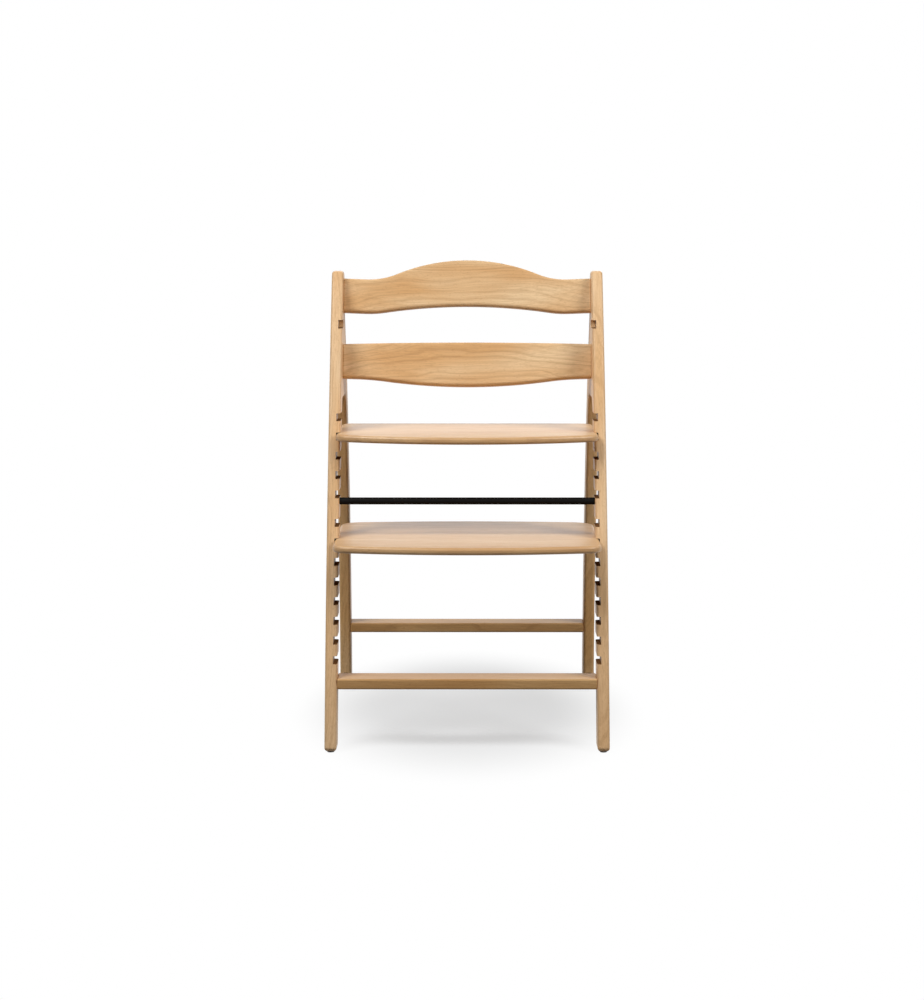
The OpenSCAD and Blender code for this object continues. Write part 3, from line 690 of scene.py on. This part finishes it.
def set_out(tree, given, shape):
    """Ends a tree: the shape stands at each place, facing its way, and gets the finish."""
    facing = add(tree, "GeometryNodeInputNamedAttribute", {"Name": "facing"},
                 data_type="FLOAT_VECTOR").outputs["Attribute"]
    turned = add(tree, "FunctionNodeAlignRotationToVector", {"Vector": facing},
                 axis="Z").outputs[0]
    stood = add(tree, "GeometryNodeInstanceOnPoints",
                {"Points": given["Places"], "Instance": shape, "Rotation": turned}).outputs[0]
    real = add(tree, "GeometryNodeRealizeInstances", {"Geometry": stood}).outputs[0]
    plated = add(tree, "GeometryNodeSetMaterial",
                 {"Geometry": real, "Material": given["Finish"]}).outputs[0]
    add(tree, "NodeGroupOutput", {0: plated})


def grown(name, tree, places, facings, sizes):
    """A piece that the tree grows from points, which carry the way that each one faces."""
    mesh = bpy.data.meshes.new(name)
    mesh.from_pydata([Vector(p) * MM for p in places], [], [])
    way = mesh.attributes.new("facing", "FLOAT_VECTOR", "POINT")
    for i, f in enumerate(facings):
        way.data[i].vector = f
    piece = bpy.data.objects.new(name, mesh)
    bpy.context.scene.collection.objects.link(piece)
    grow = piece.modifiers.new("grow", "NODES")
    grow.node_group = tree
    for item in tree.interface.items_tree:
        if item.name in sizes:
            grow[item.identifier] = sizes[item.name] * MM
    return piece


# A bolt stands along Z with the underside of its head at 0: below it the shank, above it a disc
# and its broken edge, and from the top a hexagon that goes 0.6 of the head deep
bolt_tree, given = fastener_tree("connecting_bolt", "Bolts", zinc, {
    "Shank Diameter": 6.0, "Shank Length": 36.0, "Head Diameter": 11.0,
    "Head Height": HEAD_HEIGHT, "Broken Edge": 0.5, "Hexagon": 4.0})
head_r = add(bolt_tree, "ShaderNodeMath", {0: given["Head Diameter"], 1: 0.5},
             operation="MULTIPLY").outputs[0]
broken_r = add(bolt_tree, "ShaderNodeMath", {0: head_r, 1: given["Broken Edge"]},
               operation="SUBTRACT").outputs[0]
disc_height = add(bolt_tree, "ShaderNodeMath",
                  {0: given["Head Height"], 1: given["Broken Edge"]},
                  operation="SUBTRACT").outputs[0]
shank_r = add(bolt_tree, "ShaderNodeMath", {0: given["Shank Diameter"], 1: 0.5},
              operation="MULTIPLY").outputs[0]
shank_tip = add(bolt_tree, "ShaderNodeMath", {0: given["Shank Length"], 1: -1.0},
                operation="MULTIPLY").outputs[0]
joined = add(bolt_tree, "GeometryNodeMeshBoolean", operation="UNION", solver="EXACT")
for sides, low_r, high_r, height, bottom in (
        (48, head_r, head_r, disc_height, 0.0),
        (48, head_r, broken_r, given["Broken Edge"], disc_height),
        (32, shank_r, shank_r, given["Shank Length"], shank_tip)):
    part = add(bolt_tree, "GeometryNodeMeshCone",
               {"Vertices": sides, "Radius Bottom": low_r, "Radius Top": high_r,
                "Depth": height}).outputs["Mesh"]
    up = add(bolt_tree, "ShaderNodeCombineXYZ", {"Z": bottom}).outputs[0]
    moved = add(bolt_tree, "GeometryNodeTransform",
                {"Geometry": part, "Translation": up}).outputs[0]
    bolt_tree.links.new(moved, joined.inputs["Mesh 2"])
# The hexagon is measured across its flats, so its corners lie further out
hexagon_r = add(bolt_tree, "ShaderNodeMath",
                {0: given["Hexagon"], 1: 0.5 / cos(radians(30))},
                operation="MULTIPLY").outputs[0]
key_length = add(bolt_tree, "ShaderNodeMath", {0: given["Head Height"], 1: 2 * SOCKET_SHARE},
                 operation="MULTIPLY").outputs[0]
key = add(bolt_tree, "GeometryNodeMeshCylinder",
          {"Vertices": 6, "Radius": hexagon_r, "Depth": key_length}).outputs["Mesh"]
up = add(bolt_tree, "ShaderNodeCombineXYZ", {"Z": given["Head Height"]}).outputs[0]
moved = add(bolt_tree, "GeometryNodeTransform",
            {"Geometry": key, "Translation": up}).outputs[0]
drilled = add(bolt_tree, "GeometryNodeMeshBoolean",
              {"Mesh 1": joined.outputs["Mesh"], "Mesh 2": moved},
              operation="DIFFERENCE", solver="EXACT").outputs["Mesh"]
set_out(bolt_tree, given, drilled)

for name, node, length in (("bolts_frame", "frame_bolts", 36.0), ("bolts_rod", "rod_bolts", 34.0)):
    places, facings = [], []
    for low, high in solids_of(node):
        side = 1 if low.x > 0 else -1
        under_head = (high.x if side > 0 else low.x) - side * HEAD_HEIGHT
        places.append((under_head, (low.y + high.y) / 2, (low.z + high.z) / 2))
        facings.append((side, 0, 0))
    bolts = grown(name, bolt_tree, places, facings, {"Shank Length": length})
    dress(bolts, zinc, "frame", node)

# ---------------------------------------------------------------- Barrel nuts
# Plated steel cross-dowels that the bolts screw into. They sit in blind holes, in the back of
# the rails and the underside of the stretchers, and a slot in the end sets them square.

nut_tree, given = fastener_tree("barrel_nut", "Nuts", zinc, {
    "Diameter": 10.0, "Length": 12.0, "Thread": 6.1, "Slot": 1.6})
barrel_r = add(nut_tree, "ShaderNodeMath", {0: given["Diameter"], 1: 0.5},
               operation="MULTIPLY").outputs[0]
barrel = add(nut_tree, "GeometryNodeMeshCylinder",
             {"Vertices": 48, "Radius": barrel_r, "Depth": given["Length"]}).outputs["Mesh"]
# The drill and the saw are twice as long as the nut is thick, and the saw goes in as deep as
# it is wide
through = add(nut_tree, "ShaderNodeMath", {0: given["Diameter"], 1: 2.0},
              operation="MULTIPLY").outputs[0]
thread_r = add(nut_tree, "ShaderNodeMath", {0: given["Thread"], 1: 0.5},
               operation="MULTIPLY").outputs[0]
drill = add(nut_tree, "GeometryNodeMeshCylinder",
            {"Vertices": 32, "Radius": thread_r, "Depth": through}).outputs["Mesh"]
thread = add(nut_tree, "GeometryNodeTransform",
             {"Geometry": drill, "Rotation": Euler((0, pi / 2, 0))}).outputs[0]
sunk = add(nut_tree, "ShaderNodeMath", {0: given["Slot"], 1: 2.0},
           operation="MULTIPLY").outputs[0]
saw_size = add(nut_tree, "ShaderNodeCombineXYZ",
               {"X": through, "Y": given["Slot"], "Z": sunk}).outputs[0]
saw = add(nut_tree, "GeometryNodeMeshCube", {"Size": saw_size}).outputs["Mesh"]
nut_end = add(nut_tree, "ShaderNodeMath", {0: given["Length"], 1: 0.5},
              operation="MULTIPLY").outputs[0]
up = add(nut_tree, "ShaderNodeCombineXYZ", {"Z": nut_end}).outputs[0]
slot = add(nut_tree, "GeometryNodeTransform", {"Geometry": saw, "Translation": up}).outputs[0]
cut = add(nut_tree, "GeometryNodeMeshBoolean", {"Mesh 1": barrel, "Mesh 2": thread},
          operation="DIFFERENCE", solver="EXACT")
nut_tree.links.new(slot, cut.inputs["Mesh 2"])
set_out(nut_tree, given, cut.outputs["Mesh"])

places, facings = [], []
for low, high in solids_of("barrel_nuts"):
    places.append((low + high) / 2)
    in_stretcher = high.z < WEB_HEIGHT
    facings.append((0, 0, -1) if in_stretcher else (0, cos(RAIL_LEAN), -sin(RAIL_LEAN)))
nuts = grown("nuts", nut_tree, places, facings, {})
dress(nuts, zinc, "frame", "barrel_nuts")

# ---------------------------------------------------------------- Front glides
# Grey nylon pads nailed under the front posts, moulded with a soft edge, so that the chair
# slides without marking the floor.

GLIDE_T, GLIDE_W, GLIDE_L, GLIDE_EDGE = 2.5, 12.0, 34.0, 0.7
TOOTH = 0.5
# Moulded nylon: an even, slightly warm grey with a soft sheen. The spark-eroded mould leaves
# a fine tooth, which is drawn at 0.5 mm so that it shows
nylon, tree, where = finish_of("moulded_grey_nylon")
tooth = add(tree, "ShaderNodeTexNoise",
            {"Vector": where, "Scale": 1 / (TOOTH * MM), "Detail": 1.0}).outputs["Fac"]
raised = add(tree, "ShaderNodeBump",
             {"Height": tooth, "Strength": 0.25, "Distance": 0.1 * MM}).outputs[0]
tint = add(tree, "ShaderNodeMix", {0: tooth, 6: linear("#8E8B85"), 7: linear("#A19E98")},
           data_type="RGBA").outputs[2]
shader = add(tree, "ShaderNodeBsdfPrincipled",
             {"Base Color": tint, "Roughness": 0.55, "Normal": raised})
add(tree, "ShaderNodeOutputMaterial", {"Surface": shader.outputs[0]})

# The round ends stop a hair short of meeting, so that no edge has no length
glide_end = GLIDE_W / 2 - 0.01
for side, (low, high) in zip(("left", "right"), solids_of("front_glides")):
    middle = (low + high) / 2
    corners = [((middle.x + sx * GLIDE_W / 2, middle.y + sy * GLIDE_L / 2), glide_end)
               for sx, sy in ((-1, -1), (1, -1), (1, 1), (-1, 1))]
    pad = routed_board("glide_" + side, ease(corners), lambda u, v, t: (u, v, t), GLIDE_T,
                       GLIDE_EDGE)
    dress(pad, nylon, "frame", "front_glides")

# ---------------------------------------------------------------- Rollers
# A solid rubber roller turns on a steel pin in a slot in the foot of each rear leg, so that
# the chair can be tipped back and wheeled. The tread's edges are rounded and the cheeks dished.

ROLLER_BORE, HUB, DISH, TREAD_WALL, TREAD_ROUND = 3.08, 6.5, 1.0, 3.0, 2.0
SCUFF, GRIND = 3.846, 1.111
# Moulded rubber: near black and matt, greyed by scuffs about 4 mm across
rubber, tree, where = finish_of("moulded_rubber")
scuff = add(tree, "ShaderNodeTexNoise",
            {"Vector": where, "Scale": 1 / (SCUFF * MM), "Detail": 4.0,
             "Roughness": 0.65}).outputs["Fac"]
tint = add(tree, "ShaderNodeMix", {0: scuff, 6: linear("#232221"), 7: linear("#3A3836")},
           data_type="RGBA").outputs[2]
rough = add(tree, "ShaderNodeMapRange",
            {"Value": scuff, "To Min": 0.6, "To Max": 0.85}).outputs[0]
shader = add(tree, "ShaderNodeBsdfPrincipled", {"Base Color": tint, "Roughness": rough})
add(tree, "ShaderNodeOutputMaterial", {"Surface": shader.outputs[0]})

# Ground steel: a bright grey metal whose gleam changes a little over about 1 mm
steel, tree, where = finish_of("ground_steel_pin")
ground = add(tree, "ShaderNodeTexNoise",
             {"Vector": where, "Scale": 1 / (GRIND * MM), "Detail": 2.0}).outputs["Fac"]
rough = add(tree, "ShaderNodeMapRange",
            {"Value": ground, "To Min": 0.2, "To Max": 0.32}).outputs[0]
shader = add(tree, "ShaderNodeBsdfPrincipled",
             {"Base Color": linear("#B9BABB"), "Roughness": rough, "Metallic": 1.0})
add(tree, "ShaderNodeOutputMaterial", {"Surface": shader.outputs[0]})
cover(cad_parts["roller_pins"], steel)

for side in ("left", "right"):
    low, high = node_box("roller_" + side)
    rim = (high.z - low.z) / 2
    # Half the section, as radius and depth below the cheek: bore, hub, dish, tread
    half = [(ROLLER_BORE, 0.0), (HUB, 0.0), (HUB + DISH, DISH),
            (rim - TREAD_WALL - DISH, DISH), (rim - TREAD_WALL, 0.0)]
    half += [(rim - TREAD_ROUND * (1 - sin(radians(a))), TREAD_ROUND * (1 - cos(radians(a))))
             for a in range(0, 91, 15)]
    profile = [(r, low.x + h) for r, h in half] + [(r, high.x - h) for r, h in reversed(half)]
    wheel = lathe("wheel_" + side, profile, (low.y + high.y) / 2, (low.z + high.z) / 2, steps=72)
    dress(wheel, rubber, side + "_roller", "roller_" + side)

# ---------------------------------------------------------------- Seat plate and foot plate
# Two plates of 12 mm beech plywood with a bowed front edge, rounded over all round and
# lacquered. Their straight sides run in the grooves of the posts.

VENEER, FRONT_CORNER = 1.5, 25.0
# The radii of the front edge's bow, of the back corners, and of the back edge's bow, if any
SEAT_ROUNDS, FOOTBOARD_ROUNDS = (505.0, 20.0, None), (930.0, 40.0, 1500.0)
plate_beech = lacquered_beech("lacquered_beech_plate", grain_turn((1, 0.02, 0), (0, 0.05, 1)),
                              (0.2, 0.0, -0.41), pale="#DBB482", warm="#CD9F6B",
                              dark="#9A6E44", ring=5.0, ring_share=0.2, veneer=VENEER,
                              veneer_top=node_box("seat_plate")[1].z, shine=0.5, coat=0.1)


def arc(cx, cy, r, start, end, steps=12):
    """Points along an arc from one angle to another."""
    turns = [start + (end - start) * k / steps for k in range(steps + 1)]
    return [(cx + r * cos(a), cy + r * sin(a)) for a in turns]


def bow_corner(half, r, bow):
    """The centre of the arc between a straight side and an edge bowed about (0, 0), and the
    angle at which the two arcs meet."""
    cx = half - r
    return cx, sqrt((bow - r) ** 2 - cx ** 2), acos(cx / (bow - r))


def plate_outline(low, high, bow, back_r, back_bow):
    """A plate's outline, anticlockwise: the right half from the front, then the left half."""
    half, bow_y = high.x, low.y + bow
    cx, cy, meet = bow_corner(half, FRONT_CORNER, bow)
    right = arc(0, bow_y, bow, -pi / 2, -meet, steps=24)
    right += arc(cx, bow_y - cy, FRONT_CORNER, -meet, 0)[1:]
    if back_bow:
        cx, cy, meet = bow_corner(half, back_r, back_bow)
        right += arc(cx, high.y - back_bow + cy, back_r, 0, meet)
        right += arc(0, high.y - back_bow, back_bow, meet, pi / 2)[1:]
    else:
        right += arc(half - back_r, high.y - back_r, back_r, 0, pi / 2)
    off_middle = [(x, y) for x, y in right if x > 1e-6]
    left = [(-x, y) for x, y in reversed(off_middle)]
    return [Vector(p) for p in right + left]


for name, node, body, rounds in (("seat", "seat_plate", "seat", SEAT_ROUNDS),
                                 ("footboard", "foot_plate", "footrest", FOOTBOARD_ROUNDS)):
    low, high = node_box(node)
    plate = routed_board(name, plate_outline(low, high, *rounds),
                         lambda u, v, t: (u, v, low.z + t), high.z - low.z, ROUTED, steps=8)
    dress(plate, plate_beech, body, node)

# ---------------------------------------------------------------- Studio
# A pale floor, drawn with a painted shade round the chair that fades into white, two large soft
# lamps above and in front, one on each side, and a weaker one above and behind.

EYE, LOOK_DOWN, LOOK_LEFT = (0.0, -4.107, 0.892), radians(7.014), radians(0.125)
camera = bpy.data.objects.new("camera", bpy.data.cameras.new("camera"))
bpy.context.scene.collection.objects.link(camera)
camera.data.lens = 85.68
camera.data.sensor_width = 36
camera.data.clip_end = 60
camera.location = EYE
camera.rotation_euler = (radians(90) - LOOK_DOWN, 0, LOOK_LEFT)
bpy.context.scene.camera = camera
bpy.context.scene.view_settings.view_transform = "Standard"


def seen_directly(tree):
    """1 for a ray that comes from the camera, a mirror or glass, and 0 for other light."""
    path = add(tree, "ShaderNodeLightPath").outputs
    straight = add(tree, "ShaderNodeMath",
                   {0: path["Is Camera Ray"], 1: path["Is Glossy Ray"]},
                   operation="MAXIMUM").outputs[0]
    return add(tree, "ShaderNodeMath", {0: straight, 1: path["Is Transmission Ray"]},
               operation="MAXIMUM").outputs[0]


FLOOR_REACH = 14.0
floor = bpy.data.objects.new("floor", bpy.data.meshes.new("floor"))
bpy.context.scene.collection.objects.link(floor)
floor.data.from_pydata([(sx * FLOOR_REACH, sy * FLOOR_REACH, 0)
                        for sx, sy in ((-1, -1), (1, -1), (1, 1), (-1, 1))], [], [(0, 1, 2, 3)])
floor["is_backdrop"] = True

# White paper: matt. Within an ellipse round the feet it is drawn darker, a painted shade, and the
# chair's cast shadow shows there; the painted shade fades over the ellipse's outer half, and
# beyond that the paper is plain white
SHADOW_X, SHADOW_Y, SHADOW_MIDDLE = 0.30, 0.55, 0.08
sweep, tree, where = finish_of("paper_sweep_with_painted_shade")
spread = add(tree, "ShaderNodeMapping",
             {"Vector": where, "Scale": (1 / SHADOW_X, 1 / SHADOW_Y, 1.0),
              "Location": (0, -SHADOW_MIDDLE / SHADOW_Y, 0)}).outputs[0]
distance = add(tree, "ShaderNodeVectorMath", {0: spread}, operation="LENGTH").outputs["Value"]
# Inside the ellipse the paper is drawn darker, a painted shade; outside it is plain white
past_painted_shade = add(tree, "ShaderNodeMapRange",
            {"Value": distance, "From Min": 0.45, "From Max": 1.08},
            interpolation_type="SMOOTHSTEP").outputs[0]
paper = add(tree, "ShaderNodeBsdfDiffuse", {"Color": linear("#898A8B")}).outputs[0]
dim_paper = add(tree, "ShaderNodeBsdfDiffuse", {"Color": linear("#7C7A78")}).outputs[0]
glow = add(tree, "ShaderNodeEmission", {"Color": linear("#FFFFFF"), "Strength": 0.58}).outputs[0]
paper_with_painted_shade = add(tree, "ShaderNodeAddShader", {0: paper, 1: glow}).outputs[0]
white = add(tree, "ShaderNodeEmission", {"Color": linear("#FFFFFF"), "Strength": 1.0}).outputs[0]
shown = add(tree, "ShaderNodeMixShader", {0: past_painted_shade, 1: paper_with_painted_shade, 2: white}).outputs[0]
both = add(tree, "ShaderNodeMixShader",
           {0: seen_directly(tree), 1: dim_paper, 2: shown}).outputs[0]
add(tree, "ShaderNodeOutputMaterial", {"Surface": both})
cover(floor, sweep)

world = bpy.data.worlds.new("studio")
bpy.context.scene.world = world
world.use_nodes = True
tree = world.node_tree
tree.nodes.clear()
strength = add(tree, "ShaderNodeMapRange",
               {"Value": seen_directly(tree), "To Min": 0.05, "To Max": 1.0}).outputs[0]
air = add(tree, "ShaderNodeBackground", {"Color": linear("#FFFFFF"), "Strength": strength})
add(tree, "ShaderNodeOutputWorld", {"Surface": air.outputs[0]})


def soft_lamp(name, place, aim, size, power):
    """A square lamp of this size in metres and power in watts, turned to its aim."""
    lamp = bpy.data.objects.new(name, bpy.data.lights.new(name, "AREA"))
    bpy.context.scene.collection.objects.link(lamp)
    lamp.data.shape = "SQUARE"
    lamp.data.size = size
    lamp.data.energy = power
    lamp.location = place
    lamp.rotation_euler = (Vector(aim) - Vector(place)).to_track_quat("-Z", "Y").to_euler()
    lamp.visible_camera = False


soft_lamp("left", (-1.3, -1.1, 2.3), aim=(0, 0, 0.5), size=1.0, power=44)
soft_lamp("right", (1.6, -1.1, 1.85), aim=(0, 0, 0.5), size=0.9, power=34)
soft_lamp("back", (0.0, 2.2, 1.9), aim=(0, 0, 0.4), size=1.6, power=12)

low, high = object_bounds()
